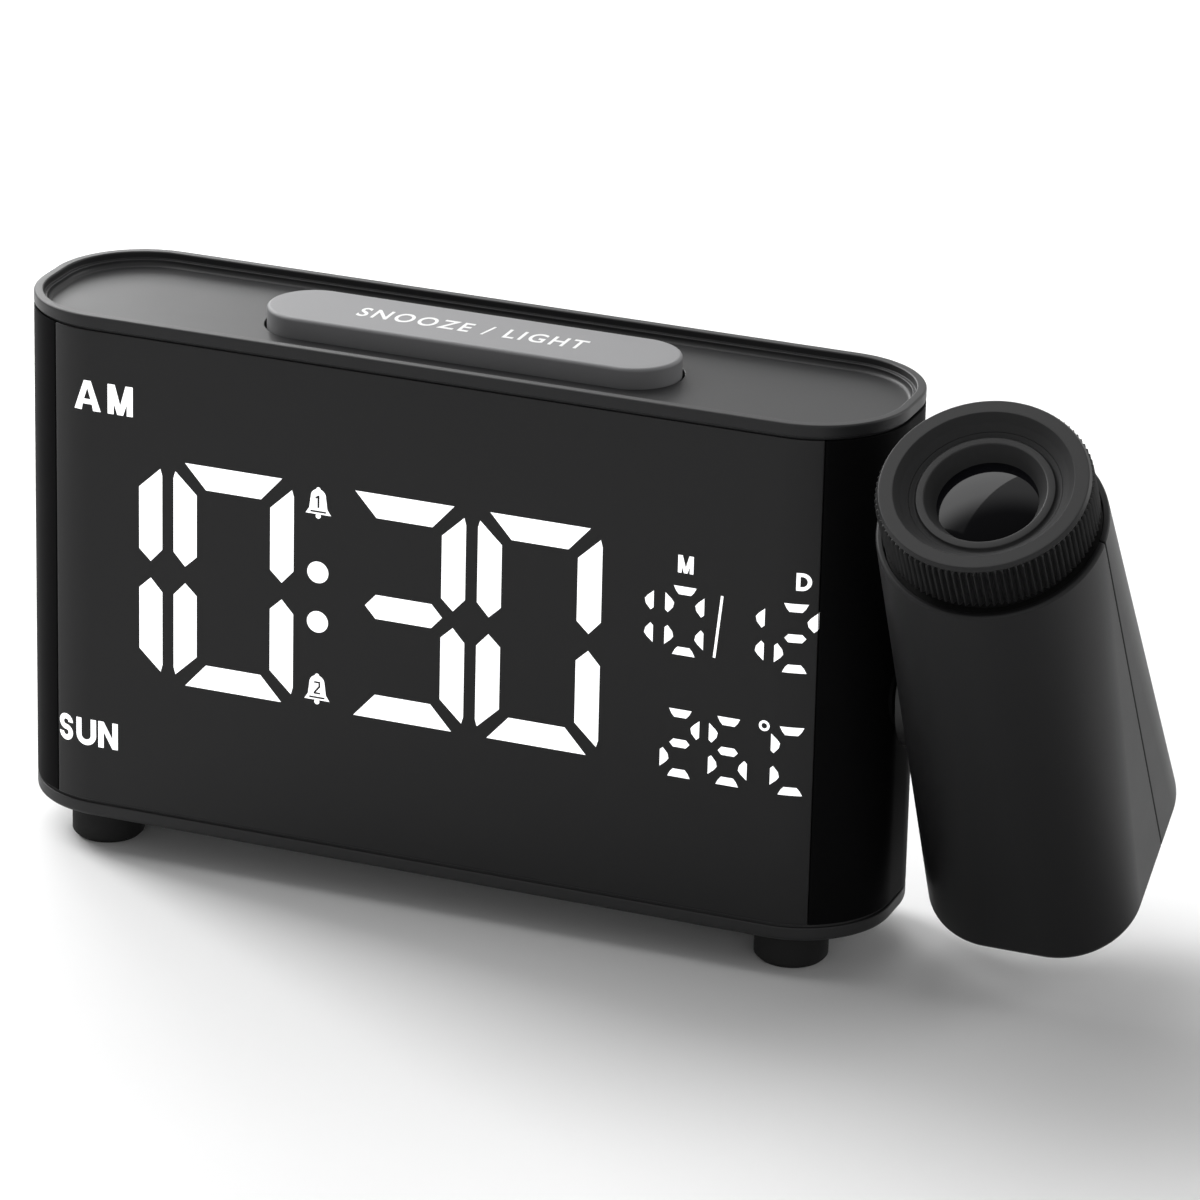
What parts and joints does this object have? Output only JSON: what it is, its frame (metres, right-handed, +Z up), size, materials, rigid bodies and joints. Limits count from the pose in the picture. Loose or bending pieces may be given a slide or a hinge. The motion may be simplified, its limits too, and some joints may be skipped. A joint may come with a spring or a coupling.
{
  "type": "projection alarm clock",
  "caption": "Slim digital alarm clock with rounded ends, smoked front display, snooze bar in the top tray and a tilting projector arm with a ribbed focus ring on its right end.",
  "frame": {"origin": "point on the table under the middle of the clock body, between its four feet", "axes": "+X to the right, towards the projector arm; +Y to the back; +Z up. The display faces -Y"},
  "size_m": [0.1792, 0.0742, 0.0972],
  "materials": {
    "housing_black": "deep black ABS with a smooth finish",
    "smoked_panel": "smoked acrylic with an even satin front",
    "cover_satin": "dark grey ABS with a fine satin finish",
    "base_satin": "black ABS with a fine satin finish",
    "foot_rubber": "black rubber",
    "lit_white": "light-passing windows of the display, lit white",
    "white_plastic": "white moulded reflector",
    "circuit_board": "green solder mask",
    "screw_steel": "zinc plated steel",
    "black_parts": "black moulded electronic parts",
    "plated_shell": "nickel plated steel shell",
    "sensor_bead": "dipped thermistor bead on two leads",
    "cell_steel": "stainless steel cell can",
    "bar_grey": "light grey satin bar with white lettering",
    "button_black": "black button caps",
    "arm_black": "black ABS with a soft satin finish",
    "neck_black": "matt black plastic",
    "clear_lens": "clear optical plastic",
    "slide_glass": "small liquid crystal plate that carries the projected time",
    "white_board": "white solder mask on an aluminium core",
    "led_resin": "phosphor coated emitter under a clear dome",
    "sink_aluminium": "plain finned aluminium",
    "hinge_black": "glass-filled black nylon",
    "washer_steel": "spring steel washer",
    "cable_jacket": "black cable jacket",
    "ring_black": "black satin ring with a ribbed side"
  },
  "bodies": {
    "clock": {"rear_housing": "housing_black", "front_lens": "smoked_panel", "top_cover": "cover_satin", "base_plate": "base_satin", "foot_front_left": "foot_rubber", "foot_front_right": "foot_rubber", "foot_back_left": "foot_rubber", "foot_back_right": "foot_rubber", "display_segments": "lit_white", "display_reflector": "white_plastic", "display_board": "circuit_board", "display_screws": "screw_steel", "main_board": "circuit_board", "board_components": "black_parts", "board_screws": "screw_steel", "rear_switches": "black_parts", "snooze_board": "circuit_board", "snooze_switches": "black_parts", "snooze_screws": "screw_steel", "dc_jack": "black_parts", "usb_port": "plated_shell", "buzzer": "black_parts", "temp_sensor": "sensor_bead", "coin_cell": "cell_steel", "cell_holder": "black_parts", "case_screws": "screw_steel"},
    "snooze_bar": {"snooze_bar": "bar_grey"},
    "button_set": {"button_set": "button_black"},
    "button_up": {"button_up": "button_black"},
    "button_down": {"button_down": "button_black"},
    "button_alarm": {"button_alarm": "button_black"},
    "button_light": {"button_light": "button_black"},
    "button_projector": {"button_projector": "button_black"},
    "battery_door": {"battery_door": "base_satin"},
    "projector": {"projector_front_shell": "arm_black", "projector_rear_shell": "arm_black", "projector_screws": "screw_steel", "neck_plate": "neck_black", "light_tunnel": "neck_black", "condenser_lens": "clear_lens", "time_slide": "slide_glass", "led_board": "white_board", "projector_led": "led_resin", "heat_sink": "sink_aluminium", "hinge_axle": "hinge_black", "friction_washer": "washer_steel", "retaining_clip": "screw_steel", "projector_cable": "cable_jacket"},
    "focus_ring": {"focus_ring": "ring_black"},
    "lens_barrel": {"lens_barrel": "neck_black", "projection_lens": "clear_lens", "lens_retainer": "neck_black"}
  },
  "joints": [
    {"name": "projector_tilt", "type": "hinge", "parent": "clock", "child": "projector", "pos_m": [0.0912, 0, 0.0431], "axis": [1, 0, 0], "range_deg": [-122.5, 57.5]},
    {"name": "focus_turn", "type": "hinge", "parent": "projector", "child": "focus_ring", "pos_m": [0.0912, -0.0266, 0.08485], "axis": [0, -0.5373, 0.8434], "range_deg": [-120, 120]},
    {"name": "focus_travel", "type": "slide", "parent": "projector", "child": "lens_barrel", "axis": [0, -0.5373, 0.8434], "range_m": [-0.0015, 0.0015]},
    {"name": "snooze_press", "type": "slide", "parent": "clock", "child": "snooze_bar", "axis": [0, 0, -1], "range_m": [0, 0.0012], "stiffness_N_per_m": 700, "springref_m": -0.0012},
    {"name": "set_press", "type": "slide", "parent": "clock", "child": "button_set", "axis": [0, -1, 0], "range_m": [0, 0.0008], "stiffness_N_per_m": 600, "springref_m": -0.0012},
    {"name": "up_press", "type": "slide", "parent": "clock", "child": "button_up", "axis": [0, -1, 0], "range_m": [0, 0.0008], "stiffness_N_per_m": 600, "springref_m": -0.0012},
    {"name": "down_press", "type": "slide", "parent": "clock", "child": "button_down", "axis": [0, -1, 0], "range_m": [0, 0.0008], "stiffness_N_per_m": 600, "springref_m": -0.0012},
    {"name": "alarm_press", "type": "slide", "parent": "clock", "child": "button_alarm", "axis": [0, -1, 0], "range_m": [0, 0.0008], "stiffness_N_per_m": 600, "springref_m": -0.0012},
    {"name": "light_press", "type": "slide", "parent": "clock", "child": "button_light", "axis": [0, -1, 0], "range_m": [0, 0.0008], "stiffness_N_per_m": 600, "springref_m": -0.0012},
    {"name": "projector_press", "type": "slide", "parent": "clock", "child": "button_projector", "axis": [0, -1, 0], "range_m": [0, 0.0008], "stiffness_N_per_m": 600, "springref_m": -0.0012},
    {"name": "battery_door_turn", "type": "hinge", "parent": "clock", "child": "battery_door", "pos_m": [0, 0, 0.007], "axis": [0, 0, 1], "range_deg": [0, 40]}
  ],
  "couplings": [
    {"joint": "focus_turn", "follows": "focus_travel", "rad_per_m": 1396}
  ]
}
